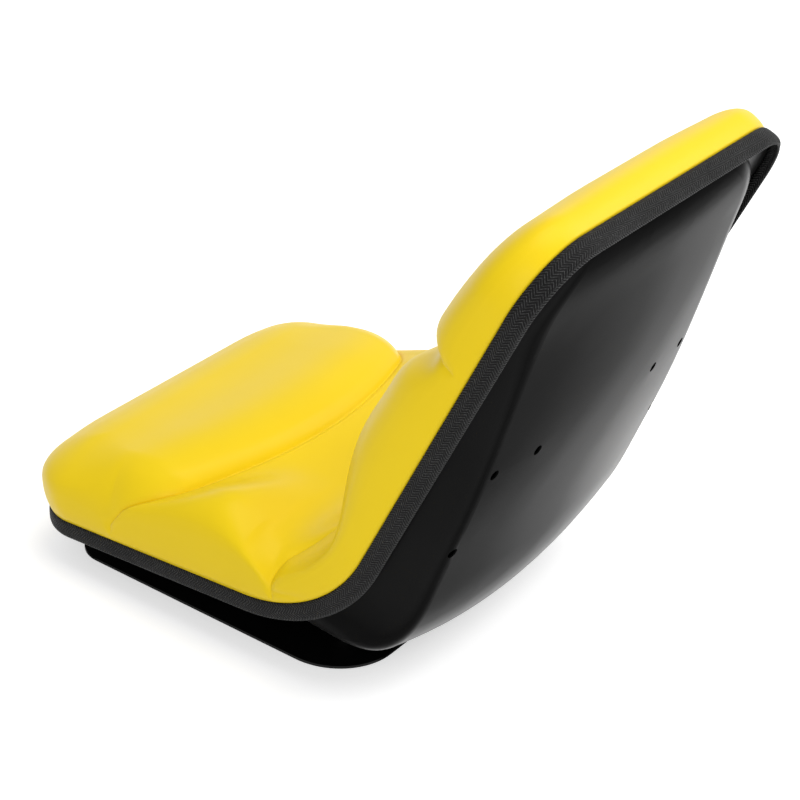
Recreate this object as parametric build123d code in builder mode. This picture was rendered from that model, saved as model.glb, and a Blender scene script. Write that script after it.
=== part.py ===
"""A garden tractor seat: a one-piece moulded cushion on a pressed steel pan, with edge trim and a base plate.

Millimetres. The origin is the middle of the four base holes, on the underside of the base plate.
+Z is up, the seat faces -Y, and +X is the sitter's left. The seat is symmetric about X = 0.
"""
from build123d import *
from math import cos, radians, sin, sqrt, tan
import os

# Rim line: where cushion and trim meet, seen from the side. Two straight runs and one bend.
rim_width = 454.0
seat_run = 399.0
back_run = 512.0
bend_radius = 165.0
seat_pitch = 3.9
back_pitch = 66.6
bend_y = 189.0
bend_z = 83.0
front_corner = 60.0
top_corner = 72.0

# Pressed pan
pan_sheet = 1.6
flange_set = 8.0
flange_reach = 4.5
wall_gap = 7.5
tub_top_gap = 26.0
tub_corner = 85.0
tub_depth = 103.0
tub_crown = 27.0
shoulder = 18.0
arm_hole = 11.0
arm_holes = ((173.0, 294.0), (108.0, 294.0), (186.0, 201.0))
bolt_room = 4.0
bolt_stop = 35.0

# Edge trim
trim_width = 6.5
trim_depth = 20.5
trim_edge = 4.0
fit_gap = 0.3

# Base plate and what holds it to the pan
plate_width = 390.0
plate_front = -177.0
plate_rear = 206.0
plate_thick = 3.0
plate_front_corner = 40.0
plate_rear_corner = 70.0
mount_x = 300.0
mount_y = 160.0
mount_hole = 9.0
screw_x = 112.0
screw_rows = (-90.0, 140.0)
screw_size = 6.0
screw_head = 11.5
spacer_width = 24.0
nut_width = 10.0
nut_height = 8.0
nut_pocket = 18.0

# Cushion heights above the rim line, and its groove and round edge
pad_height = 87.0
pad_crown = 5.0
seat_height = 60.0
bolster_height = 88.0
back_height = 54.0
wing_height = 75.0
upper_height = 59.0
groove_set = 66.0
groove_sag = 50.0
groove_depth = 14.0
groove_width = 17.0
edge_round = 40.0
edge_wall = 0.45

half = rim_width / 2
turn = radians(back_pitch - seat_pitch)
tangent_run = bend_radius * tan(turn / 2)
seat_flat = seat_run - tangent_run
bend_end = seat_flat + bend_radius * turn
bend_length = bend_end - seat_flat
back_length = back_run - tangent_run
rim_length = bend_end + back_length
tub_end = rim_length - tub_top_gap
seat_dir = (cos(radians(seat_pitch)), sin(radians(seat_pitch)))
back_dir = (cos(radians(back_pitch)), sin(radians(back_pitch)))
bend_start_yz = (bend_y - seat_dir[0] * tangent_run, bend_z - seat_dir[1] * tangent_run)
bend_end_yz = (bend_y + back_dir[0] * tangent_run, bend_z + back_dir[1] * tangent_run)


def rim_angle(s):
    """The rim line's angle, in radians, at a distance s from its front end."""
    return radians(seat_pitch) + min(max(s - seat_flat, 0.0) / bend_radius, turn)


def rim(s, depth=0.0):
    """(y, z) on the rim line at s, moved away from the sitter by depth."""
    angle = rim_angle(s)
    if s <= seat_flat:
        y = bend_start_yz[0] + seat_dir[0] * (s - seat_flat)
        z = bend_start_yz[1] + seat_dir[1] * (s - seat_flat)
    elif s >= bend_end:
        y = bend_end_yz[0] + back_dir[0] * (s - bend_end)
        z = bend_end_yz[1] + back_dir[1] * (s - bend_end)
    else:
        y = bend_start_yz[0] + bend_radius * (sin(angle) - sin(radians(seat_pitch)))
        z = bend_start_yz[1] + bend_radius * (cos(radians(seat_pitch)) - cos(angle))
    return (y + sin(angle) * depth, z - cos(angle) * depth)


def station_plane(s):
    """Plane across the rim line at s: local x is +X, local y is the depth away from the sitter."""
    angle = rim_angle(s)
    y, z = rim(s)
    return Plane(origin=(0, y, z), x_dir=(1, 0, 0), z_dir=(0, cos(angle), sin(angle)))


def side_plane(x):
    """Plane parallel to the side view at x: local x is Y and local y is Z."""
    return Plane(origin=(x, 0, 0), x_dir=(0, 1, 0), z_dir=(1, 0, 0))


def strip(near, far, reach, front_radius, top_radius):
    """A strip that follows the rim line from depth near to far, reach wide each way, with round corners."""
    margin = half - reach
    first, last = margin, rim_length - margin
    bend_middle = seat_flat + bend_length / 2
    with BuildPart() as sheet:
        with BuildSketch(side_plane(0)):
            with BuildLine():
                Line(rim(first, near), rim(seat_flat, near))
                ThreePointArc(rim(seat_flat, near), rim(bend_middle, near), rim(bend_end, near))
                Line(rim(bend_end, near), rim(last, near))
                Line(rim(last, near), rim(last, far))
                Line(rim(last, far), rim(bend_end, far))
                ThreePointArc(rim(bend_end, far), rim(bend_middle, far), rim(seat_flat, far))
                Line(rim(seat_flat, far), rim(first, far))
                Line(rim(first, far), rim(first, near))
            make_face()
        extrude(amount=reach, both=True)
        corners = sheet.edges().filter_by(lambda e: abs(e.length - (far - near)) < 1e-3)
        fillet(corners.sort_by(Axis.Z)[:2], front_radius)
        corners = sheet.edges().filter_by(lambda e: abs(e.length - (far - near)) < 1e-3)
        fillet(corners.sort_by(Axis.Z)[-2:], top_radius)
    return sheet.part


def inner_half(s):
    """Half-width inside the trim at s, less where the outline's corners are round."""
    front_over = min(max(front_corner - s, 0.0), front_corner - trim_width)
    top_over = min(max(s - (rim_length - top_corner), 0.0), top_corner - trim_width)
    front_x = half - front_corner + sqrt((front_corner - trim_width) ** 2 - front_over**2)
    top_x = half - top_corner + sqrt((top_corner - trim_width) ** 2 - top_over**2)
    return min(front_x, top_x)


def tub_half(s):
    """Half-width of the tub's opening at s, less in its wide round top corners."""
    over = min(max(s - (tub_end - tub_corner), 0.0), tub_corner)
    top_x = half - trim_width - wall_gap - tub_corner + sqrt(tub_corner**2 - over**2)
    return min(inner_half(s) - wall_gap, top_x)


def tub_section(s, depth_share, shoulder_share, crown_share, inset):
    """Section of the pan's tub at s: sloping walls, round shoulders and a crowned floor."""
    top = flange_set - pan_sheet if inset else flange_set + pan_sheet / 2
    depth = tub_depth * depth_share
    wall_half = tub_half(s)
    wall = Vector(wall_half - inset, top)
    corner_half = min(half * shoulder_share, wall_half - shoulder / 2)
    corner = Vector(corner_half - inset, max(depth - tub_crown * crown_share - inset, top + pan_sheet / 2))
    floor = Vector(0, max(depth - inset, top + pan_sheet))
    reach = min(shoulder, 0.7 * (wall - corner).length)
    start = corner + (wall - corner).normalized() * reach
    end = corner + (floor - corner).normalized() * shoulder
    with BuildSketch(station_plane(s)) as section:
        with BuildLine():
            Line((-wall.X, top), (wall.X, top))
            Line((wall.X, top), (start.X, start.Y))
            Bezier((start.X, start.Y), (corner.X, corner.Y), (end.X, end.Y))
            ThreePointArc((end.X, end.Y), (0, floor.Y), (-end.X, end.Y))
            Bezier((-end.X, end.Y), (-corner.X, corner.Y), (-start.X, start.Y))
            Line((-start.X, start.Y), (-wall.X, top))
        make_face()
    return section.sketch


def tub(inset):
    """The pan's tub as a solid, from its front wall under the seat to the top of the back."""
    stations = (
        (0.37 * front_corner, 0.14, 0.66, 0.07),
        (0.50 * front_corner, 0.33, 0.66, 0.11),
        (0.73 * front_corner, 0.45, 0.66, 0.15),
        (1.50 * front_corner, 0.50, 0.67, 0.15),
        (0.65 * seat_flat, 0.553, 0.70, 0.22),
        (seat_flat, 0.61, 0.75, 0.81),
        (seat_flat + 0.25 * bend_length, 0.777, 0.785, 1.00),
        (seat_flat + 0.50 * bend_length, 1.00, 0.82, 0.85),
        (seat_flat + 0.70 * bend_length, 0.95, 0.845, 0.67),
        (bend_end, 0.777, 0.872, 0.48),
        (bend_end + 0.11 * back_length, 0.728, 0.88, 0.44),
        (bend_end + 0.20 * back_length, 0.69, 0.88, 0.41),
        (bend_end + 0.41 * back_length, 0.583, 0.872, 0.41),
        (bend_end + 0.65 * back_length, 0.398, 0.86, 0.30),
        (tub_end - 0.95 * tub_corner, 0.325, 0.85, 0.24),
        (tub_end - 0.60 * tub_corner, 0.275, 0.83, 0.19),
        (tub_end - 0.30 * tub_corner, 0.227, 0.76, 0.13),
        (tub_end - 0.12 * tub_corner, 0.17, 0.68, 0.07),
        (tub_end - 0.02 * tub_corner, 0.105, 0.58, 0.02),
    )
    with BuildPart() as body:
        loft([tub_section(*station, inset) for station in stations])
    return body.part


def corner_recess(x, radius):
    """How far a round corner of the outline pulls an end back at x."""
    over = min(max(abs(x) - (half - radius), 0.0), radius)
    return radius - sqrt(radius**2 - over**2)


def ease(value, low, high):
    """0 below low, 1 above high, and a smooth step between."""
    t = min(max((value - low) / (high - low), 0.0), 1.0)
    return t * t * (3 - 2 * t)


def cushion_profile(x):
    """(s, height) along the cushion's face at x, from the front edge to the top."""
    u = abs(x) / half
    over = min(max((abs(x) - (half - edge_round)) / edge_round, 0.0), 1.0)
    edge = edge_wall + (1 - edge_wall) * sqrt(1 - over**2)
    side = ease(u, 0.35, 0.84)
    rim_side = ease(u, 0.60, 1.0)
    front = corner_recess(x, front_corner)
    back = rim_length - corner_recess(x, top_corner)
    groove = seat_flat - groove_set - groove_sag * u**2
    notch = bend_end + 0.622 * back_length
    pad = back - notch
    pinch = seat_flat + (0.615 - 0.42 * rim_side) * bend_length
    lower = bend_end - 0.083 * bend_length

    def mix(middle, beside):
        return (middle + (beside - middle) * side) * edge

    top = (pad_height - pad_crown * ease(u, 0.5, 1.0)) * edge
    corner = 1 - 0.08 * rim_side
    return [
        (front, 0.0),
        (front - 0.05 * front_corner, 0.30 * corner * top),
        (front + 0.10 * front_corner, 0.66 * corner * top),
        (front + 0.47 * front_corner, 0.88 * corner * top),
        ((front + groove) / 2, top),
        (groove - groove_width, 0.93 * top),
        (groove, 0.93 * top - groove_depth * edge),
        (groove + groove_width, mix(1.04 * seat_height, 0.84 * bolster_height)),
        (0.853 * seat_flat, mix(seat_height, bolster_height)),
        (0.98 * seat_flat, mix(0.95 * seat_height, 0.80 * bolster_height)),
        (pinch, (0.80 - 0.25 * rim_side) * seat_height * edge),
        (pinch + 0.35 * (lower - pinch), mix(0.86 * back_height, 0.573 * wing_height)),
        (lower, mix(0.85 * back_height, 0.573 * wing_height)),
        (bend_end + 0.107 * back_length, mix(0.926 * back_height, 0.80 * wing_height)),
        (bend_end + 0.255 * back_length, mix(back_height, wing_height)),
        (bend_end + 0.413 * back_length, mix(back_height, 0.975 * wing_height)),
        (bend_end + 0.520 * back_length, mix(0.95 * back_height, 0.85 * wing_height)),
        (notch, mix(0.90 * back_height, 0.667 * wing_height)),
        (notch + 0.12 * pad, mix(0.98 * upper_height, 0.98 * upper_height)),
        (notch + 0.35 * pad, mix(upper_height, 0.975 * upper_height)),
        (notch + 0.68 * pad, mix(0.94 * upper_height, 0.87 * upper_height)),
        (notch + 0.92 * pad, mix(0.72 * upper_height, 0.65 * upper_height)),
        (back + 0.055 * top_corner, 0.25 * upper_height * edge),
        (back, 0.0),
    ]


def path_steps(profile):
    """Running share of the way along a cushion profile, 0 to 1, at each of its points."""
    points = [Vector(*rim(s, -height)) for s, height in profile]
    runs = [0.0]
    for first, second in zip(points, points[1:]):
        runs.append(runs[-1] + (second - first).length)
    return [run / runs[-1] for run in runs]


face_steps = path_steps(cushion_profile(half * 0.5))


def cushion_section(x):
    """Side-view section of the cushion at x, from the rim line up to its face."""
    profile = cushion_profile(x)
    first, last = profile[0][0], profile[-1][0]
    with BuildSketch(side_plane(x)) as section:
        with BuildLine():
            add(Edge.make_spline([rim(s, -height) for s, height in profile], parameters=face_steps))
            Line(rim(last), rim(bend_end))
            ThreePointArc(rim(bend_end), rim(seat_flat + bend_length / 2), rim(seat_flat))
            Line(rim(seat_flat), rim(first))
        make_face()
    return section.sketch


def corner_arc(x_side, s_end, radius, inset, depth):
    """Start, middle and end of a round corner of the rim outline, moved in by inset and back by depth."""
    turn_in = 1 if s_end < seat_flat else -1
    r = radius - inset
    x_mid, s_mid = half - radius, s_end + turn_in * radius
    slant = r * sqrt(0.5)
    points = ((x_mid + r, s_mid), (x_mid + slant, s_mid - turn_in * slant), (x_mid, s_mid - turn_in * r))
    return [(x_side * x, *rim(s, depth)) for x, s in points]


os.makedirs("parts", exist_ok=True)

# Pressed pan: a flange all round and a tub that is deepest at the bend
flange_half = half - flange_reach
screw_spots = [(x, y) for x in (-screw_x, screw_x) for y in screw_rows]
tub_outside = tub(0.0)
tub_inside = tub(pan_sheet)


def nut_top(x, y):
    """Top of the nut at (x, y), its height above the lowest floor under it."""
    with BuildPart() as column:
        with BuildSketch(Plane.XY):
            with Locations((x, y)):
                Circle(nut_width / 2)
        extrude(amount=bend_z)
        add(tub_inside, mode=Mode.INTERSECT)
    return column.part.bounding_box().min.Z + nut_height


nut_tops = [nut_top(x, y) for x, y in screw_spots]
with BuildPart() as seat_pan:
    flange_corners = (front_corner - flange_reach, top_corner - flange_reach)
    add(strip(flange_set, flange_set + pan_sheet, flange_half, *flange_corners))
    add(tub_outside)
    add(tub_inside, mode=Mode.SUBTRACT)
    for hole_x, hole_z in arm_holes:
        with BuildSketch(Plane.XZ.offset(-bend_end_yz[0] - trim_depth)):
            with Locations((-hole_x, hole_z), (hole_x, hole_z)):
                Circle(arm_hole / 2)
        extrude(amount=-back_run, mode=Mode.SUBTRACT)
    with BuildSketch(Plane.XY):
        with Locations(*screw_spots):
            Circle(screw_size / 2 + fit_gap)
    extrude(amount=bend_z / 2, mode=Mode.SUBTRACT)
seat_pan.part.label = "seat_pan"
export_step(seat_pan.part, "parts/seat_pan.step")

# Cushion: its face is lofted across the seat, and foam fills the tub below it
cushion_shares = (0, 0.2, 0.4, 0.56, 0.70, 0.80, 0.88, 0.94, 0.98, 1)
cushion_x = [-half * share for share in reversed(cushion_shares[1:])]
cushion_x += [half * share for share in cushion_shares]
plug_inset = trim_width + fit_gap
with BuildPart() as seat_cushion:
    loft([cushion_section(x) for x in cushion_x])
    plug_corners = (front_corner - plug_inset, top_corner - plug_inset)
    add(strip(-flange_set / 2, flange_set - fit_gap, half - plug_inset, *plug_corners))
    add(tub(pan_sheet + 2 * fit_gap))
    for spot, top in zip(screw_spots, nut_tops):
        with BuildSketch(Plane.XY):
            with Locations(spot):
                Circle(nut_pocket / 2)
        extrude(amount=top + fit_gap, mode=Mode.SUBTRACT)
    for hole_x, hole_z in arm_holes:
        pocket_y = bend_y + (hole_z - bend_z) * back_dir[0] / back_dir[1] + bolt_stop
        with BuildSketch(Plane.XZ.offset(-pocket_y)):
            with Locations((-hole_x, hole_z), (hole_x, hole_z)):
                Circle(arm_hole / 2 + bolt_room)
        extrude(amount=-back_run, mode=Mode.SUBTRACT)
seat_cushion.part.label = "seat_cushion"
export_step(seat_cushion.part, "parts/seat_cushion.step")

# Edge trim: a U-channel swept along the rim outline, with a slot that takes the flange
trim_inset = trim_width / 2
trim_middle = trim_depth / 2
slot_depth = trim_width - flange_reach + fit_gap
with BuildPart() as edge_trim:
    with BuildLine() as trim_path:
        front_left = corner_arc(1, 0.0, front_corner, trim_inset, trim_middle)
        front_right = corner_arc(-1, 0.0, front_corner, trim_inset, trim_middle)
        top_left = corner_arc(1, rim_length, top_corner, trim_inset, trim_middle)
        top_right = corner_arc(-1, rim_length, top_corner, trim_inset, trim_middle)
        front_middle = (0, *rim(trim_inset, trim_middle))
        Line(front_middle, front_left[2])
        ThreePointArc(*reversed(front_left))
        side_x = half - trim_inset
        bend_points = (seat_flat, seat_flat + bend_length / 2, bend_end)
        bend = [rim(s, trim_middle) for s in bend_points]
        Line(front_left[0], (side_x, *bend[0]))
        ThreePointArc(*[(side_x, *point) for point in bend])
        Line((side_x, *bend[2]), top_left[0])
        ThreePointArc(*top_left)
        Line(top_left[2], top_right[2])
        ThreePointArc(*reversed(top_right))
        Line(top_right[0], (-side_x, *bend[2]))
        ThreePointArc(*[(-side_x, *point) for point in reversed(bend)])
        Line((-side_x, *bend[0]), front_right[0])
        ThreePointArc(*front_right)
        Line(front_right[2], front_middle)
    trim_plane = Plane(origin=front_middle, x_dir=(0, -seat_dir[0], -seat_dir[1]), z_dir=(1, 0, 0))
    with BuildSketch(trim_plane) as trim_section:
        with Locations((0, fit_gap)):
            Rectangle(trim_width, trim_depth - 2 * fit_gap)
        fillet(trim_section.vertices().group_by(Axis.X)[-1], trim_edge)
        with Locations((-trim_inset, flange_set - trim_middle - fit_gap)):
            Rectangle(slot_depth, pan_sheet + 2 * fit_gap, align=(Align.MIN, Align.MIN), mode=Mode.SUBTRACT)
    sweep(path=trim_path.wires()[0])
edge_trim.part.label = "edge_trim"
export_step(edge_trim.part, "parts/edge_trim.step")

# Base plate, with four mounting holes and four countersunk holes
plate_length = plate_rear - plate_front
with BuildPart() as base_plate:
    with BuildSketch(Plane.XY) as plate_outline:
        with Locations((0, (plate_front + plate_rear) / 2)):
            Rectangle(plate_width, plate_length)
        fillet(plate_outline.vertices().group_by(Axis.Y)[0], plate_front_corner)
        fillet(plate_outline.vertices().group_by(Axis.Y)[-1], plate_rear_corner)
        with GridLocations(mount_x, mount_y, 2, 2):
            Circle(mount_hole / 2, mode=Mode.SUBTRACT)
    extrude(amount=plate_thick)
    with Locations(*[Location((x, y, 0), (180, 0, 0)) for x, y in screw_spots]):
        CounterSinkHole(screw_size / 2 + fit_gap / 2, screw_head / 2 + fit_gap / 2, counter_sink_angle=90)
base_plate.part.label = "base_plate"
export_step(base_plate.part, "parts/base_plate.step")

# Spacers between plate and pan, cut to the pan's underside
with BuildPart() as plate_spacers:
    with BuildSketch(Plane.XY.offset(plate_thick)):
        with Locations(*screw_spots):
            Circle(spacer_width / 2)
            Circle(screw_size / 2 + fit_gap, mode=Mode.SUBTRACT)
    extrude(amount=bend_z / 2)
    add(tub_outside, mode=Mode.SUBTRACT)
plate_spacers.part.label = "plate_spacers"
export_step(plate_spacers.part, "parts/plate_spacers.step")

# Weld nuts on the pan's floor
with BuildPart() as pan_nuts:
    for spot, top in zip(screw_spots, nut_tops):
        with BuildSketch(Plane.XY):
            with Locations(spot):
                RegularPolygon(nut_width / 2, 6, major_radius=False)
                Circle(screw_size / 2, mode=Mode.SUBTRACT)
        extrude(amount=top)
    add(tub_inside, mode=Mode.INTERSECT)
pan_nuts.part.label = "pan_nuts"
export_step(pan_nuts.part, "parts/pan_nuts.step")

# Countersunk screws, flush with the underside of the plate
head_height = (screw_head - screw_size) / 2
with BuildPart() as plate_screws:
    for (x, y), top in zip(screw_spots, nut_tops):
        with BuildSketch(Plane(origin=(x, y, 0), x_dir=(1, 0, 0), z_dir=(0, -1, 0))):
            with BuildLine():
                Polyline((0, top), (0, 0), (screw_head / 2, 0), (screw_size / 2, head_height))
                Polyline((screw_size / 2, head_height), (screw_size / 2, top), (0, top))
            make_face()
        revolve(axis=Axis((x, y, 0), (0, 0, 1)))
        with BuildSketch(Plane.XY):
            with Locations((x, y)):
                RegularPolygon(screw_size / 3, 6)
        extrude(amount=head_height * 0.7, mode=Mode.SUBTRACT)
plate_screws.part.label = "plate_screws"
export_step(plate_screws.part, "parts/plate_screws.step")
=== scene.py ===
# %% [markdown]
# # A garden tractor seat
# The real seat is a moulded foam cushion with a yellow vinyl skin, set in a black pressed steel pan.
# A textured rubber edging hides the joint between them, and a flat steel plate carries the pan.
# The CAD solids of the pan, the plate and the fixings are right as they are and only need finishes.
# The cushion and the edging are made again here, because their look comes from soft folds and a fine weave.

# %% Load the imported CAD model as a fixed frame
from math import cos, hypot, pi, radians, sin, tan

import bmesh
import bpy
import numpy as np
from mathutils import Matrix, Vector


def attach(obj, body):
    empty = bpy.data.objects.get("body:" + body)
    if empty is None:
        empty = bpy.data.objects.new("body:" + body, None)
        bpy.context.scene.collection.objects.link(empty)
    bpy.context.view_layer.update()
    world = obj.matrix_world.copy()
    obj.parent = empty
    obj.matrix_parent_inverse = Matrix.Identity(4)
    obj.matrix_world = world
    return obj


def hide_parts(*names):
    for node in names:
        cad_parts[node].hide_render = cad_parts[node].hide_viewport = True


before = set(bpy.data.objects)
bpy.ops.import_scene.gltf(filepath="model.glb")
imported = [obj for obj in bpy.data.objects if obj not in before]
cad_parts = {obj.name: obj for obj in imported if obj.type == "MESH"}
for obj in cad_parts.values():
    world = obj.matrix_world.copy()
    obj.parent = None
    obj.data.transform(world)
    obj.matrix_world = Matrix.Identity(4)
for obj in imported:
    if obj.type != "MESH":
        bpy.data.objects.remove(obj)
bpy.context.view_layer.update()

scene = bpy.context.scene
scene.view_settings.view_transform = "Standard"
print("CAD nodes:", sorted(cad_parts))

# %% [markdown]
# ## The rim line
# Cushion and edging both follow one line, seen from the side: a flat run under the thighs, a bend, and a
# straight back. A point on the seat is then named by three plain numbers in millimetres: x across, s along the
# line from the front edge, and a height above the line towards the sitter. One function turns them into a place
# in the frame.

# %% Rim line and outline
MM = 0.001
HALF = 227.0
SEAT_RUN, BACK_RUN = 399.0, 512.0
BEND_RADIUS = 165.0
SEAT_PITCH, BACK_PITCH = radians(3.9), radians(66.6)
BEND_Y, BEND_Z = 189.0, 83.0
FRONT_CORNER, TOP_CORNER = 60.0, 72.0

TURN = BACK_PITCH - SEAT_PITCH
TANGENT_RUN = BEND_RADIUS * tan(TURN / 2)
SEAT_FLAT = SEAT_RUN - TANGENT_RUN
BEND_END = SEAT_FLAT + BEND_RADIUS * TURN
BEND_LENGTH = BEND_END - SEAT_FLAT
BACK_LENGTH = BACK_RUN - TANGENT_RUN
RIM_LENGTH = BEND_END + BACK_LENGTH
BEND_START_Y = BEND_Y - cos(SEAT_PITCH) * TANGENT_RUN
BEND_START_Z = BEND_Z - sin(SEAT_PITCH) * TANGENT_RUN


def place(x, s, height):
    """Points in metres, in the frame, from x, s and height in millimetres."""
    x, s, height = np.broadcast_arrays(*[np.asarray(v, float) for v in (x, s, height)])
    angle = SEAT_PITCH + np.clip((s - SEAT_FLAT) / BEND_RADIUS, 0.0, TURN)
    on_seat = np.minimum(s, SEAT_FLAT) - SEAT_FLAT
    on_back = np.maximum(s, BEND_END) - BEND_END
    y = BEND_START_Y + cos(SEAT_PITCH) * on_seat + cos(BACK_PITCH) * on_back
    y = y + BEND_RADIUS * (np.sin(angle) - sin(SEAT_PITCH)) - np.sin(angle) * height
    z = BEND_START_Z + sin(SEAT_PITCH) * on_seat + sin(BACK_PITCH) * on_back
    z = z + BEND_RADIUS * (cos(SEAT_PITCH) - np.cos(angle)) + np.cos(angle) * height
    return np.stack([x, y, z], axis=-1) * MM


def outline_half(s):
    """Half-width of the outline at s, less in its round corners."""
    front_over = np.clip(FRONT_CORNER - s, 0.0, FRONT_CORNER)
    top_over = np.clip(s - (RIM_LENGTH - TOP_CORNER), 0.0, TOP_CORNER)
    front_half = HALF - FRONT_CORNER + np.sqrt(FRONT_CORNER**2 - front_over**2)
    top_half = HALF - TOP_CORNER + np.sqrt(TOP_CORNER**2 - top_over**2)
    return np.minimum(front_half, top_half)


def outline_inset(x, s):
    """How far inside the outline a point lies, and the outward direction (x, s) there."""
    far = np.abs(x)
    way_x, way_s = np.sign(x), np.zeros_like(s)
    inset = HALF - far
    for end, corner, outward in ((0.0, FRONT_CORNER, -1.0), (RIM_LENGTH, TOP_CORNER, 1.0)):
        run = outward * (end - s)
        along = run < inset
        inset = np.where(along, run, inset)
        way_x, way_s = np.where(along, 0.0, way_x), np.where(along, outward, way_s)
        over_x, over_s = far - (HALF - corner), corner - run
        round_part = (over_x > 0) & (over_s > 0)
        reach = np.maximum(np.hypot(over_x, over_s), 1e-9)
        inset = np.where(round_part, corner - reach, inset)
        way_x = np.where(round_part, np.sign(x) * over_x / reach, way_x)
        way_s = np.where(round_part, outward * over_s / reach, way_s)
    return inset, way_x, way_s


print(f"rim line {RIM_LENGTH:.0f} mm, bend from {SEAT_FLAT:.0f} to {BEND_END:.0f} mm")

# %% [markdown]
# ## The cushion's form
# The cushion has a raised front pad, a curved groove, a dished seat with side bolsters, a deep pinch where seat
# and back meet, a winged lower back, a crease, and an upper pad. A cloth simulation would round all of that off:
# the real foam is moulded, and its skin is formed tight over it. So a flat grid is made first, and each of its
# points is then lifted to the height that the moulding has there, much as a sculptor would push clay up from a
# board.

# %% Helpers for smooth heights
def ease(value, low, high):
    """0 below low, 1 above high, and a smooth step between."""
    t = np.clip((np.asarray(value, float) - low) / (high - low), 0.0, 1.0)
    return t * t * (3 - 2 * t)


def spline(stations, heights, at):
    """Smooth curve through the heights at the stations, read at the given places."""
    n = len(stations)
    gap = np.diff(stations)
    rise = np.diff(heights) / gap
    system, right = np.eye(n), np.zeros(n)
    for k in range(1, n - 1):
        system[k, k - 1:k + 2] = gap[k - 1], 2 * (gap[k - 1] + gap[k]), gap[k]
        right[k] = 6 * (rise[k] - rise[k - 1])
    bend = np.linalg.solve(system, right)
    k = np.clip(np.searchsorted(stations, at) - 1, 0, n - 2)
    ahead, behind = stations[k + 1] - at, at - stations[k]
    return (
        (bend[k] * ahead**3 + bend[k + 1] * behind**3) / (6 * gap[k])
        + (heights[k] / gap[k] - bend[k] * gap[k] / 6) * ahead
        + (heights[k + 1] / gap[k] - bend[k + 1] * gap[k] / 6) * behind
    )


# %% Heights of the moulding
PAD_HEIGHT, PAD_CROWN, SEAT_HEIGHT, BOLSTER_HEIGHT = 87.0, 3.5, 60.0, 86.0
BACK_HEIGHT, WING_HEIGHT, UPPER_HEIGHT = 54.0, 75.0, 59.0
GROOVE_SET, GROOVE_SAG, GROOVE_HOOK = 66.0, 50.0, 60.0
NOTCH = BEND_END + 0.622 * BACK_LENGTH


def groove_line(x):
    """Where the groove runs at x: it bows forward, and turns further forward down the round sides."""
    u = np.abs(x) / HALF
    turn = np.clip((u - 0.80) / 0.20, 0.0, 1.0)
    return SEAT_FLAT - GROOVE_SET - GROOVE_SAG * u**2 - GROOVE_HOOK * (1 - np.sqrt(1 - turn**2))


def groove_slant(x):
    """How much longer a step across the groove is along s, where the line runs at a slant."""
    rise = (groove_line(np.abs(x) + 1.0) - groove_line(np.abs(x) - 1.0)) / 2
    return np.minimum(np.hypot(1.0, rise), 1.3)


def pinch_line(x):
    """Where the crease between seat and back runs at x: it comes forward towards the sides."""
    return SEAT_FLAT + (0.615 - 0.395 * ease(np.abs(x) / HALF, 0.56, 1.03)) * BEND_LENGTH


def moulded_height(x, s):
    """Height of the moulding along one column at x, before its edge is rounded off."""
    u = abs(x) / HALF
    side, rim_side = ease(u, 0.28, 0.88), ease(u, 0.60, 1.0)
    groove, slant, pinch = groove_line(x), groove_slant(x), pinch_line(x)
    lower = BEND_END - 0.083 * BEND_LENGTH
    pad_top = PAD_HEIGHT - PAD_CROWN * ease(u, 0.5, 1.0)
    upper = RIM_LENGTH - NOTCH

    def mix(middle, beside):
        return middle + (beside - middle) * side

    front = spline(
        np.array([0.0, 0.5 * groove, groove - 19 * slant, groove - 14 * slant, groove]),
        np.array([0.965, 1.0, 0.985, 0.955, 0.80]) * pad_top, s,
    )
    front = front * (1 - 0.10 * rim_side * (1 - ease(s, 20, 95)))
    rear = np.array([
        (groove, 0.80 * pad_top),
        (groove + 16 * slant, mix(1.10 * SEAT_HEIGHT, 0.87 * BOLSTER_HEIGHT)),
        (0.90 * SEAT_FLAT, mix(1.02 * SEAT_HEIGHT, BOLSTER_HEIGHT)),
        (SEAT_FLAT, mix(0.93 * SEAT_HEIGHT, 0.78 * BOLSTER_HEIGHT)),
        (pinch, (0.80 - 0.15 * rim_side) * SEAT_HEIGHT),
        (pinch + 0.30 * (lower - pinch), mix(0.86 * BACK_HEIGHT, 0.60 * WING_HEIGHT) - 10 * rim_side),
        (lower, mix(0.85 * BACK_HEIGHT, 0.573 * WING_HEIGHT) - 4 * rim_side),
        (BEND_END + 0.107 * BACK_LENGTH, mix(0.926 * BACK_HEIGHT, 0.80 * WING_HEIGHT)),
        (BEND_END + 0.255 * BACK_LENGTH, mix(BACK_HEIGHT, WING_HEIGHT)),
        (BEND_END + 0.413 * BACK_LENGTH, mix(BACK_HEIGHT, 0.975 * WING_HEIGHT)),
        (BEND_END + 0.520 * BACK_LENGTH, mix(0.95 * BACK_HEIGHT, 0.85 * WING_HEIGHT)),
        (NOTCH, mix(0.90 * BACK_HEIGHT, 0.667 * WING_HEIGHT)),
        (NOTCH + 0.05 * upper, mix(0.96, 0.985) * UPPER_HEIGHT),
        (NOTCH + 0.15 * upper, mix(1.0, 1.05) * UPPER_HEIGHT),
        (NOTCH + 0.38 * upper, mix(1.0, 1.015) * UPPER_HEIGHT),
        (NOTCH + 0.68 * upper, mix(0.96, 0.91) * UPPER_HEIGHT),
        (RIM_LENGTH, mix(0.90, 0.82) * UPPER_HEIGHT),
    ])
    return np.where(s < groove, front, spline(rear[:, 0], rear[:, 1], s))


# %% [markdown]
# ## The cushion's mesh
# The rows of the grid bend with the groove and the pinch, so that these lines stay crisp, and they stand closer
# together there and in the round corners. Extruding the grid once gives a closed block. Its upper faces become
# the cushion's face and the cut-up side walls become the rounded edge that tucks in behind the edging.

# %% Rows and columns of the grid
COLUMNS = 170
EDGE_CLUSTER = 0.78


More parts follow.
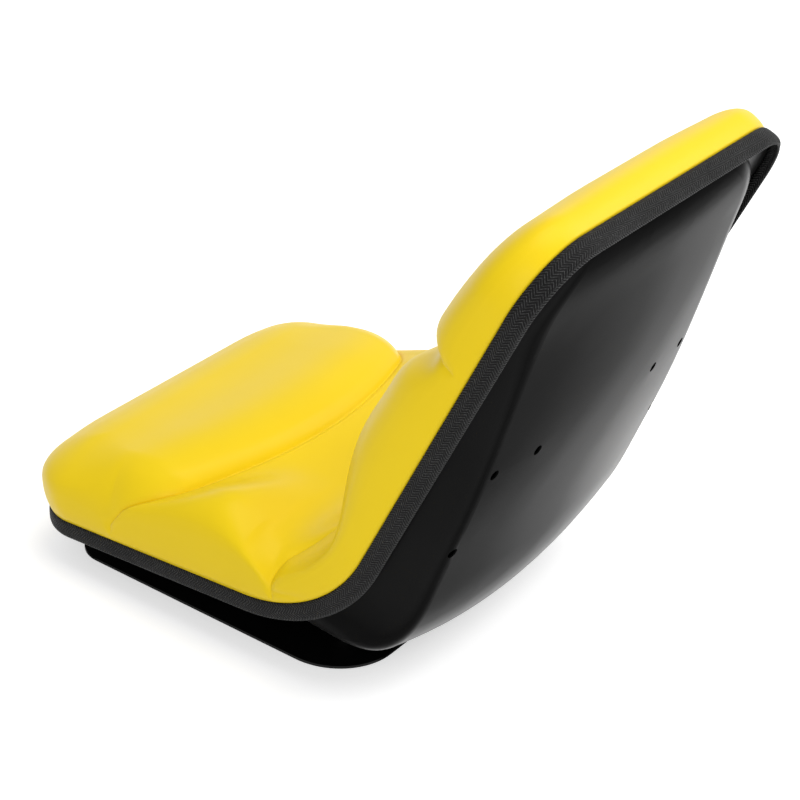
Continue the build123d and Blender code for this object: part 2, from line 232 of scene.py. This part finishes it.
def row_places():
    """Places of the rows along the middle of the seat, closer where a line has to stay crisp."""
    corner_steps = 24
    bow = [1 - cos(pi / 2 * k / corner_steps) for k in range(corner_steps + 1)]
    front = [FRONT_CORNER * b for b in bow]
    top = [RIM_LENGTH - TOP_CORNER * b for b in reversed(bow)]
    rows, s = [], front[-1]
    while s < top[0] - 1.2:
        rows.append(s)
        near = min(abs(s - SEAT_FLAT + GROOVE_SET) / 14, abs(s - pinch_line(0.0)) / 26, abs(s - NOTCH) / 18)
        s += 1.1 + 2.4 * float(ease(near, 0.6, 2.2))
    return np.array(front[:-1] + rows + top)


rows = row_places()
column = np.linspace(-1, 1, COLUMNS + 1)
column = np.sin(column * pi / 2 * EDGE_CLUSTER) / sin(pi / 2 * EDGE_CLUSTER)
grid_x = outline_half(rows)[:, None] * column[None, :]

shift_ends = [FRONT_CORNER, SEAT_FLAT - GROOVE_SET, pinch_line(0.0), BEND_END + 0.36 * BACK_LENGTH]
grid_s = np.zeros_like(grid_x)
for i, share in enumerate(column):
    x = HALF * share
    shifts = [0.0, groove_line(x) - groove_line(0.0), pinch_line(x) - pinch_line(0.0), 0.0]
    shift = np.zeros_like(rows)
    for low, high, first, last in zip(shift_ends, shift_ends[1:], shifts, shifts[1:]):
        part = (rows >= low) & (rows <= high)
        shift[part] = first + (last - first) * ease(rows[part], low, high)
    grid_s[:, i] = rows + shift
grid_inset, way_x, way_s = outline_inset(grid_x, grid_s)
print(f"cushion grid: {len(rows)} rows, {COLUMNS + 1} columns")

# %% Lift the grid to the moulding's height
GROOVE_FOOT, PINCH_FOOT = float(groove_line(HALF)), float(pinch_line(HALF))
SIDE_WALL = (
    ((-1.0, 50.0, 80.0, 97.0, 111.0, GROOVE_FOOT), (34.0, 37.0, 36.0, 32.0, 27.0, 20.0)),
    (
        (GROOVE_FOOT, 135.0, 172.0, 206.0, 265.0, 290.0, 308.0, 323.0, PINCH_FOOT),
        (20.0, 31.0, 41.0, 47.0, 52.0, 50.0, 44.0, 35.0, 15.0),
    ),
    (
        (PINCH_FOOT, 365.0, 395.0, 435.0, 480.0, 522.0, 580.0, 640.0, 690.0),
        (15.0, 24.0, 28.0, 29.0, 26.0, 28.0, 34.0, 33.0, 29.0),
    ),
    ((690.0, NOTCH, NOTCH + 20, NOTCH + 65, RIM_LENGTH + 1), (29.0, 23.0, 26.0, 26.0, 18.0)),
)
EDGE_ROUND, FRONT_ROUND, TOP_ROUND, PINCH_ROUND = 44.0, 28.0, 12.0, -26.0
GROOVE_CUT, PINCH_CUT, NOTCH_CUT = 3.0, 4.5, 6.0
GROOVE_WIDTH, PINCH_WIDTH, NOTCH_WIDTH = 2.0, 6.0, 6.0
LEAST_HEIGHT = 3.0
SIDE_BULGE, FRONT_BULGE = 2.0, 3.5


def crease(distance, width):
    """1 on a crease, fading on both sides."""
    return np.exp(-np.abs(distance) / width)


columns = [moulded_height(HALF * share, grid_s[:, i]) for i, share in enumerate(column)]
body_height = np.stack(columns, axis=1)
frontness = 1 - ease(grid_s, 60, 125)
topness = ease(grid_s, RIM_LENGTH - 150, RIM_LENGTH - 60)
behind_pinch = ease(grid_s, 338, 366) * (1 - ease(grid_s, 430, 500))
edge_round = EDGE_ROUND + FRONT_ROUND * frontness + TOP_ROUND * topness + PINCH_ROUND * behind_pinch
over = np.clip(1 - np.maximum(grid_inset, 0.0) / edge_round, 0.0, 1.0)
wall_top = np.zeros_like(grid_s)
for stations, heights in SIDE_WALL:
    part = (grid_s >= stations[0]) & (grid_s <= stations[-1])
    wall_top[part] = spline(np.array(stations), np.array(heights), grid_s[part])
lifted = wall_top + (body_height - wall_top) * np.sqrt(1 - over**2)

side_share = np.abs(grid_x) / HALF
from_groove = grid_s - groove_line(grid_x)
from_pinch = grid_s - pinch_line(grid_x)
from_notch = grid_s - NOTCH
groove_cut = GROOVE_CUT * crease(from_groove, GROOVE_WIDTH * groove_slant(grid_x))
pinch_cut = PINCH_CUT * ease(side_share, 0.50, 0.95) * crease(from_pinch, PINCH_WIDTH)
notch_cut = NOTCH_CUT * ease(side_share, 0.45, 0.8) * crease(from_notch, NOTCH_WIDTH)
grid_height = np.maximum(lifted - groove_cut - pinch_cut - notch_cut, LEAST_HEIGHT)
edge_bulge = SIDE_BULGE + FRONT_BULGE * (1 - ease(grid_s, 20, 130))
print(f"cushion heights: {grid_height.min():.0f} to {grid_height.max():.0f} mm")

# %% Build the block and shape it
WALL_CUTS = 10
PLUG_INSET, PLUG_DEPTH = 6.9, 7.6
LIP_DEPTH = 0.2
FOOT_TUCK, WALL_CURVE, WALL_FADE = 1.4, 2.4, 30.0
FOLD_START, FOLD_HEIGHT, FOLD_SLOPE, FOLD_WIDTH, FOLD_CUT = 338.0, 14.0, 0.21, 2.4, 1.5
bm = bmesh.new()
bmesh.ops.create_grid(bm, x_segments=COLUMNS, y_segments=len(rows) - 1, size=1.0)
level = bm.verts.layers.float.new("level")
col_layer = bm.verts.layers.float.new("col")
row_layer = bm.verts.layers.float.new("row")
for v in bm.verts:
    v[col_layer] = (v.co.x + 1) / 2 * COLUMNS
    v[row_layer] = (v.co.y + 1) / 2 * (len(rows) - 1)
under_faces = bm.faces[:]
grown = bmesh.ops.extrude_face_region(bm, geom=bm.verts[:] + bm.edges[:] + bm.faces[:], use_keep_orig=True)
for item in grown["geom"]:
    if isinstance(item, bmesh.types.BMVert):
        item[level] = 1.0
wall_edges = [e for e in bm.edges if e.verts[0][level] != e.verts[1][level]]
bmesh.ops.subdivide_edges(bm, edges=wall_edges, cuts=WALL_CUTS, use_grid_fill=True)
bm.verts.ensure_lookup_table()

vert_level = np.array([v[level] for v in bm.verts])
vert_col = np.rint([v[col_layer] for v in bm.verts]).astype(int)
vert_row = np.rint([v[row_layer] for v in bm.verts]).astype(int)
pick = (vert_row, vert_col)
step = vert_level * (WALL_CUTS + 1)
up = np.clip((step - 2) / (WALL_CUTS - 1), 0.0, 1.0)
bulge = edge_bulge[pick]
outward = bulge - (bulge + FOOT_TUCK) * (1 - up) ** WALL_CURVE
outward -= 2.4 * crease(from_groove[pick], 4.0) * ease(up, 0.30, 0.85)
outward -= 3.0 * crease(from_pinch[pick], 5.0) * ease(up, 0.15, 0.70)
outward -= 2.0 * crease(from_notch[pick], 6.0) * ease(up, 0.60, 1.0)
height = grid_height[pick] * up
fold_line = FOLD_HEIGHT - FOLD_SLOPE * (grid_s[pick] - FOLD_START)
fold_reach = ease(grid_s[pick], 332, 344) * (1 - ease(grid_s[pick], 368, 392))
outward -= FOLD_CUT * fold_reach * np.exp(-(((height - fold_line) / FOLD_WIDTH) ** 2))
under_lip, underside = step < 1.5, step < 0.5
outward = np.where(under_lip, -PLUG_INSET, outward)
height = np.where(under_lip, -LIP_DEPTH, height)
height = np.where(underside, -PLUG_DEPTH, height)
plug_x = grid_x[pick] * (1 - PLUG_INSET / HALF)
plug_s = PLUG_INSET + grid_s[pick] * (1 - 2 * PLUG_INSET / RIM_LENGTH)
fade = np.clip(1 - np.maximum(grid_inset[pick], 0.0) / WALL_FADE, 0.0, 1.0)
vert_x = np.where(underside, plug_x, grid_x[pick] + way_x[pick] * outward * fade)
vert_s = np.where(underside, plug_s, grid_s[pick] + way_s[pick] * outward * fade)
for v, co in zip(bm.verts, place(vert_x, vert_s, height)):
    v.co = co
for face in under_faces:
    face.material_index = 1
under_edges = {e for face in under_faces for e in face.edges}
under_verts = {v for face in under_faces for v in face.verts}
bmesh.ops.dissolve_limit(bm, angle_limit=radians(1.0), verts=list(under_verts), edges=list(under_edges))
bmesh.ops.recalc_face_normals(bm, faces=bm.faces[:])


def finish_piece(bm, name, body="root"):
    """A mesh object at the origin, smooth shaded, that rides on a body."""
    mesh = bpy.data.meshes.new(name)
    bm.to_mesh(mesh)
    bm.free()
    mesh.shade_smooth()
    piece = bpy.data.objects.new(name, mesh)
    scene.collection.objects.link(piece)
    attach(piece, body)
    return piece


cushion = finish_piece(bm, "cushion_cover")
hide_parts("seat_cushion")
print("cushion faces:", len(cushion.data.polygons))

# %% [markdown]
# ## The edging
# The edging is a rubber channel pushed over the pan's flange all round, with a thin bead on the pan side. It has
# one section everywhere, so a flat grid is wrapped round the section one way and along the outline the other way,
# and its seams are welded. Each face corner gets its distance along the strip and across it as a UV map, and the
# weave follows the strip.

# %% Section of the edging and the way it runs
EDGING_SECTION = (
    (-6.5, 1.6), (-4.6, 0.7), (-2.4, 0.7), (-0.9, 1.3), (-0.1, 2.8), (0.35, 6.0), (0.5, 10.5), (0.3, 15.0),
    (-0.3, 17.6), (-1.4, 19.4), (-2.9, 20.2), (-3.7, 19.9), (-4.1, 20.8), (-4.9, 21.5), (-5.9, 21.6),
    (-6.7, 21.0), (-6.9, 20.1), (-6.5, 19.2), (-6.3, 14.0), (-6.3, 10.1), (-2.4, 10.0), (-2.4, 7.6), (-6.3, 7.5),
)


def outline_path(pitch):
    """(x, s, way_x, way_s) round the outline, starting at the middle of the front edge."""
    path = []

    def straight(x0, s0, x1, s1, way):
        steps = max(1, round(hypot(x1 - x0, s1 - s0) / pitch))
        for k in range(steps):
            path.append((x0 + (x1 - x0) * k / steps, s0 + (s1 - s0) * k / steps, *way))

    def corner(x, s, radius, start):
        steps = max(8, round(radius * pi / 2 / pitch))
        for k in range(steps):
            angle = start + pi / 2 * k / steps
            path.append((x + radius * cos(angle), s + radius * sin(angle), cos(angle), sin(angle)))

    front_x, top_x = HALF - FRONT_CORNER, HALF - TOP_CORNER
    front_s, top_s = FRONT_CORNER, RIM_LENGTH - TOP_CORNER
    straight(0, 0, front_x, 0, (0, -1))
    corner(front_x, front_s, FRONT_CORNER, -pi / 2)
    straight(HALF, front_s, HALF, top_s, (1, 0))
    corner(top_x, top_s, TOP_CORNER, 0)
    straight(top_x, RIM_LENGTH, -top_x, RIM_LENGTH, (0, 1))
    corner(-top_x, top_s, TOP_CORNER, pi / 2)
    straight(-HALF, top_s, -HALF, front_s, (-1, 0))
    corner(-front_x, front_s, FRONT_CORNER, pi)
    straight(-front_x, 0, 0, 0, (0, -1))
    return np.array(path)


path = outline_path(5.0)
section = np.array(EDGING_SECTION)
closed_path, closed_section = np.vstack([path, path[:1]]), np.vstack([section, section[:1]])
path_run = np.concatenate([[0.0], np.cumsum(np.hypot(*np.diff(closed_path[:, :2], axis=0).T))])
section_run = np.concatenate([[0.0], np.cumsum(np.hypot(*np.diff(closed_section, axis=0).T))])
print(f"edging: {len(path)} stations, {path_run[-1]:.0f} mm round")

# %% Wrap a grid along the outline
bm = bmesh.new()
bmesh.ops.create_grid(bm, x_segments=len(path), y_segments=len(section), size=1.0)
uv_layer = bm.loops.layers.uv.new("strip")
station = np.rint([(v.co.x + 1) / 2 * len(path) for v in bm.verts]).astype(int)
spot = np.rint([(v.co.y + 1) / 2 * len(section) for v in bm.verts]).astype(int)
bm.verts.index_update()
for face in bm.faces:
    for loop in face.loops:
        i = loop.vert.index
        loop[uv_layer].uv = (path_run[station[i]] * MM, section_run[spot[i]] * MM)
x, s, toward_x, toward_s = closed_path[station].T
out, back = closed_section[spot].T
for v, co in zip(bm.verts, place(x + toward_x * out, s + toward_s * out, -back)):
    v.co = co
bmesh.ops.remove_doubles(bm, verts=bm.verts[:], dist=1e-6)
bmesh.ops.recalc_face_normals(bm, faces=bm.faces[:])
edging = finish_piece(bm, "edging_strip")
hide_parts("edge_trim")
print("edging faces:", len(edging.data.polygons))

# %% [markdown]
# ## Finishes
# Every finish is made from nodes on Object coordinates, in metres, or on the edging's own UV map. Unevenness turns
# up on all of them, so it is one node group with its own two scales in each finish.

# %% Node helpers and the shared unevenness group
def new_finish(name):
    """A material with an empty node tree, its Principled shader and its tools."""
    finish = bpy.data.materials.new(name)
    finish.use_nodes = True
    tree = finish.node_tree
    shader = next(n for n in tree.nodes if n.type == "BSDF_PRINCIPLED")
    return finish, tree, shader


def add_node(tree, kind, **values):
    """A node of a kind, with its properties or inputs set by name."""
    node = tree.nodes.new(kind)
    for key, value in values.items():
        if hasattr(node, key):
            setattr(node, key, value)
        else:
            node.inputs[key.replace("_", " ")].default_value = value
    return node


def math_node(tree, operation, *values):
    """A Math node fed by sockets or numbers; its result socket comes back."""
    node = tree.nodes.new("ShaderNodeMath")
    node.operation = operation
    for socket, value in zip(node.inputs, values):
        if isinstance(value, (int, float)):
            socket.default_value = value
        else:
            tree.links.new(value, socket)
    return node.outputs[0]


def ramp_node(tree, value, stops):
    """A colour ramp over a value, from (position, grey or colour) stops; its colour socket comes back."""
    node = tree.nodes.new("ShaderNodeValToRGB")
    elements = node.color_ramp.elements
    while len(elements) < len(stops):
        elements.new(0.5)
    for element, (position, colour) in zip(elements, stops):
        element.position = position
        element.color = (colour, colour, colour, 1) if isinstance(colour, float) else (*colour, 1)
    tree.links.new(value, node.inputs["Fac"])
    return node.outputs["Color"]


uneven = bpy.data.node_groups.new("uneven_surface", "ShaderNodeTree")
for name in ("Broad scale", "Fine scale"):
    uneven.interface.new_socket(name, in_out="INPUT", socket_type="NodeSocketFloat")
uneven.interface.new_socket("Broad", in_out="OUTPUT", socket_type="NodeSocketFloat")
uneven.interface.new_socket("Fine", in_out="OUTPUT", socket_type="NodeSocketFloat")
group_in, group_out = uneven.nodes.new("NodeGroupInput"), uneven.nodes.new("NodeGroupOutput")
where = uneven.nodes.new("ShaderNodeTexCoord")
for name, detail in (("Broad", 3.0), ("Fine", 4.0)):
    noise = add_node(uneven, "ShaderNodeTexNoise", Detail=detail)
    uneven.links.new(where.outputs["Object"], noise.inputs["Vector"])
    uneven.links.new(group_in.outputs[name + " scale"], noise.inputs["Scale"])
    uneven.links.new(noise.outputs["Fac"], group_out.inputs[name])


def add_uneven(tree, broad, fine):
    """The shared unevenness with its own scales; its two outputs come back."""
    node = tree.nodes.new("ShaderNodeGroup")
    node.node_tree = uneven
    node.inputs["Broad scale"].default_value = broad
    node.inputs["Fine scale"].default_value = fine
    return node.outputs["Broad"], node.outputs["Fine"]


def add_bump(tree, shader, height, distance, strength):
    """A bump of a height socket on a shader's normal."""
    bump = add_node(tree, "ShaderNodeBump", Strength=strength, Distance=distance)
    tree.links.new(height, bump.inputs["Height"])
    tree.links.new(bump.outputs["Normal"], shader.inputs["Normal"])


print("shared node group:", uneven.name)

# %% [markdown]
# ### Yellow vinyl
# The skin is smooth and satin. A barely visible pebble grain breaks up its gloss, and the colour drifts a little.
# A thin lacquer shows most where the skin is seen at a slant.

# %% Vinyl and foam
vinyl, tree, shader = new_finish("yellow_vinyl")
broad, fine = add_uneven(tree, 5.0, 260.0)
tint = ramp_node(tree, broad, ((0.3, (0.81, 0.58, 0.008)), (0.7, (0.85, 0.61, 0.011))))
tree.links.new(tint, shader.inputs["Base Color"])
gloss = ramp_node(tree, fine, ((0.2, 0.36), (0.8, 0.46)))
tree.links.new(gloss, shader.inputs["Roughness"])
grain = add_node(tree, "ShaderNodeTexVoronoi", feature="SMOOTH_F1", Scale=900.0)
spots = tree.nodes.new("ShaderNodeTexCoord")
tree.links.new(spots.outputs["Object"], grain.inputs["Vector"])
add_bump(tree, shader, math_node(tree, "ADD", grain.outputs["Distance"], fine), 0.00012, 0.25)
shader.inputs["Specular IOR Level"].default_value = 0.06
edge_on = add_node(tree, "ShaderNodeLayerWeight", Blend=0.5).outputs["Facing"]
lacquer_stops = ((0.0, 0.10), (0.30, 0.16), (0.50, 0.26), (0.64, 0.50), (0.78, 0.45), (0.9, 0.3))
lacquer = ramp_node(tree, edge_on, lacquer_stops)
tree.links.new(lacquer, shader.inputs["Coat Weight"])
shader.inputs["Coat Roughness"].default_value = 0.35

foam, tree, shader = new_finish("dark_foam")
fine = add_uneven(tree, 40.0, 900.0)[1]
tree.links.new(ramp_node(tree, fine, ((0.3, 0.012), (0.7, 0.03))), shader.inputs["Base Color"])
shader.inputs["Roughness"].default_value = 0.95
cushion.data.materials.append(vinyl)
cushion.data.materials.append(foam)
print("vinyl and foam on", cushion.name)

# %% [markdown]
# ### Woven edging
# The edging is black with a fine herringbone weave. Slanted ribs change direction in narrow lanes along the strip,
# the ribs' tops carry a painted highlight, lighter in the colour, and single threads carry painted glints. The
# bead on the pan side has short ribs straight across, and its colour is a little lighter.

# %% Edging rubber
RIB_PITCH, LANE, BEAD_PITCH = 0.0034, 0.0052, 0.0030
BEAD_FROM, BEAD_TO = 0.0270, 0.0330
rubber, tree, shader = new_finish("woven_rubber")
strip = add_node(tree, "ShaderNodeUVMap", uv_map="strip")
split = tree.nodes.new("ShaderNodeSeparateXYZ")
tree.links.new(strip.outputs["UV"], split.inputs["Vector"])
along, across = split.outputs["X"], split.outputs["Y"]


def ribs(turns):
    """Ribs between 0 and 1, one for each whole turn."""
    wave = math_node(tree, "SINE", math_node(tree, "MULTIPLY", turns, 2 * pi))
    return math_node(tree, "MULTIPLY_ADD", wave, 0.5, 0.5)


lane = math_node(tree, "PINGPONG", across, LANE)
slanted = ribs(math_node(tree, "DIVIDE", math_node(tree, "ADD", along, lane), RIB_PITCH))
straight = ribs(math_node(tree, "DIVIDE", along, BEAD_PITCH))
past_start = math_node(tree, "GREATER_THAN", across, BEAD_FROM)
before_end = math_node(tree, "LESS_THAN", across, BEAD_TO)
on_bead = math_node(tree, "MULTIPLY", past_start, before_end)
broad, fine = add_uneven(tree, 30.0, 700.0)
threads = add_node(tree, "ShaderNodeTexVoronoi", Scale=330.0)
tree.links.new(strip.outputs["UV"], threads.inputs["Vector"])
# Painted glints: dots on single threads are made lighter in the colour.
thread_glints = math_node(tree, "LESS_THAN", threads.outputs["Distance"], 0.22)
weave = math_node(tree, "MULTIPLY", slanted, math_node(tree, "ADD", fine, 0.4))
rise = math_node(tree, "MAXIMUM", weave, math_node(tree, "MULTIPLY", straight, on_bead))
lift = math_node(tree, "MULTIPLY_ADD", thread_glints, 0.35, weave)
lift = math_node(tree, "MULTIPLY_ADD", on_bead, 0.3, lift)
# Painted highlight: rib tops and thread glints are lighter in the colour, and the bead is a little lighter as
# well.
shade = ramp_node(tree, lift, ((0.30, 0.004), (0.75, 0.014), (1.0, 0.055)))
tree.links.new(shade, shader.inputs["Base Color"])
tree.links.new(ramp_node(tree, broad, ((0.3, 0.50), (0.7, 0.62))), shader.inputs["Roughness"])
add_bump(tree, shader, rise, 0.0007, 0.8)
shader.inputs["Specular IOR Level"].default_value = 0.1
edging.data.materials.append(rubber)
print("woven rubber on", edging.name)

# %% [markdown]
# ### Black paint and plated steel
# The pan is sprayed satin black. It is dark when seen square on, and its lacquer turns bright where it is seen
# edge-on. The plate has a duller coat, and the spacers, screws and nuts are zinc plated.

# %% Pan, plate and fixings
def black_paint(name, low, high, roughness, shine):
    """Sprayed black paint with a little orange peel, and a lacquer that shows edge-on."""
    paint, tree, shader = new_finish(name)
    broad, fine = add_uneven(tree, 9.0, 420.0)
    tree.links.new(ramp_node(tree, broad, ((0.3, low), (0.7, high))), shader.inputs["Base Color"])
    gloss = ramp_node(tree, fine, ((0.25, roughness - 0.03), (0.75, roughness + 0.03)))
    tree.links.new(gloss, shader.inputs["Roughness"])
    add_bump(tree, shader, fine, 0.0001, 0.12)
    shader.inputs["Specular IOR Level"].default_value = 0.0
    edge_on = add_node(tree, "ShaderNodeLayerWeight", Blend=0.5).outputs["Facing"]
    square_on = ((0.0, shine), (0.33, shine), (0.45, 0.03), (0.56, 0.04))
    slanting = ((0.64, 0.10), (0.70, 0.22), (0.735, 0.36), (0.77, 0.42))
    slanting += ((0.80, 0.62), (0.88, 0.95), (1.0, 1.0))
    tree.links.new(ramp_node(tree, edge_on, square_on + slanting), shader.inputs["Coat Weight"])
    shader.inputs["Coat Roughness"].default_value = 0.3
    return paint


plating, tree, shader = new_finish("zinc_plating")
broad, fine = add_uneven(tree, 60.0, 1500.0)
tint = ramp_node(tree, broad, ((0.3, (0.50, 0.50, 0.52)), (0.7, (0.62, 0.61, 0.58))))
tree.links.new(tint, shader.inputs["Base Color"])
tree.links.new(ramp_node(tree, fine, ((0.2, 0.28), (0.8, 0.42))), shader.inputs["Roughness"])
shader.inputs["Metallic"].default_value = 1.0

finishes = {
    "seat_pan": black_paint("satin_black_paint", 0.004, 0.006, 0.45, 0.10),
    "base_plate": black_paint("dull_black_paint", 0.002, 0.003, 0.55, 0.50),
    "plate_spacers": plating, "plate_screws": plating, "pan_nuts": plating,
}
for node, finish in finishes.items():
    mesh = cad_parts[node].data
    mesh.materials.clear()
    mesh.materials.append(finish)
print("painted and plated:", sorted(finishes))

# %% [markdown]
# ## Studio
# The seat stands on a white floor in a white room. The lamps keep to a plain level. The floor and the room are
# lifted to white for the camera, for reflections and through glass only, so the floor still holds a soft shadow.

# %% Floor and room
def white_for_camera(tree):
    """1 for rays from the camera, from gloss or through glass, and 0 for the rays that light the scene."""
    rays = tree.nodes.new("ShaderNodeLightPath")
    seen = math_node(tree, "MAXIMUM", rays.outputs["Is Camera Ray"], rays.outputs["Is Glossy Ray"])
    return math_node(tree, "MAXIMUM", seen, rays.outputs["Is Transmission Ray"])


bm = bmesh.new()
bmesh.ops.create_grid(bm, x_segments=8, y_segments=8, size=6.0)
bmesh.ops.translate(bm, verts=bm.verts[:], vec=(0, 0, -0.0005))
floor_mesh = bpy.data.meshes.new("studio_floor")
bm.to_mesh(floor_mesh)
bm.free()
floor = bpy.data.objects.new("studio_floor", floor_mesh)
scene.collection.objects.link(floor)
floor_paint, tree, shader = new_finish("floor_white")
shader.inputs["Base Color"].default_value = (0.8, 0.8, 0.8, 1)
shader.inputs["Roughness"].default_value = 0.9
shader.inputs["Specular IOR Level"].default_value = 0.0
shader.inputs["Emission Color"].default_value = (1, 1, 1, 1)
FLOOR_LIFT = 0.5
glow = math_node(tree, "MULTIPLY", white_for_camera(tree), FLOOR_LIFT)
tree.links.new(glow, shader.inputs["Emission Strength"])
floor.data.materials.append(floor_paint)

ROOM_LIGHT = 0.5
world = bpy.data.worlds.new("white_room")
scene.world = world
world.use_nodes = True
tree = world.node_tree
background = next(n for n in tree.nodes if n.type == "BACKGROUND")
background.inputs["Color"].default_value = (1, 1, 1, 1)
room = math_node(tree, "MULTIPLY_ADD", white_for_camera(tree), 1 - ROOM_LIGHT, ROOM_LIGHT)
tree.links.new(room, background.inputs["Strength"])
print("room light", ROOM_LIGHT)

# %% Lamps
SEAT_MIDDLE = Vector((0.0, 0.1, 0.25))


def soft_lamp(name, place_from, size, power):
    """A large area lamp that faces the seat."""
    lamp = bpy.data.lights.new(name, "AREA")
    lamp.shape = "DISK"
    lamp.size, lamp.energy = size, power
    light = bpy.data.objects.new(name, lamp)
    light.location = place_from
    light.rotation_euler = (SEAT_MIDDLE - Vector(place_from)).to_track_quat("-Z", "Y").to_euler()
    scene.collection.objects.link(light)


soft_lamp("rear_lamp", (-2.3, 2.2, 2.9), 2.7, 66)
soft_lamp("top_lamp", (-0.3, 0.9, 4.4), 3.2, 78)
soft_lamp("side_lamp", (2.8, 1.8, 1.4), 2.2, 33)

# %% [markdown]
# ## Camera
# The camera looks from behind and above, over the sitter's left shoulder. Its lens, place and slight roll were
# found from the straight edges and the holes that the photograph shows.

# %% Camera
EYE = Vector((1.6940, 1.2459, 1.3794))
RIGHT = Vector((-0.5834, 0.8100, 0.0599))
UP = Vector((-0.3734, -0.3330, 0.8658))
lens = bpy.data.cameras.new("photo_camera")
lens.sensor_width, lens.lens = 36.0, 101.25
camera = bpy.data.objects.new("photo_camera", lens)
right = RIGHT.normalized()
back = right.cross(UP).normalized()
up = back.cross(right)
camera.matrix_world = Matrix.Translation(EYE) @ Matrix((right, up, back)).transposed().to_4x4()
scene.collection.objects.link(camera)
scene.camera = camera
print("camera at", tuple(round(v, 3) for v in EYE))
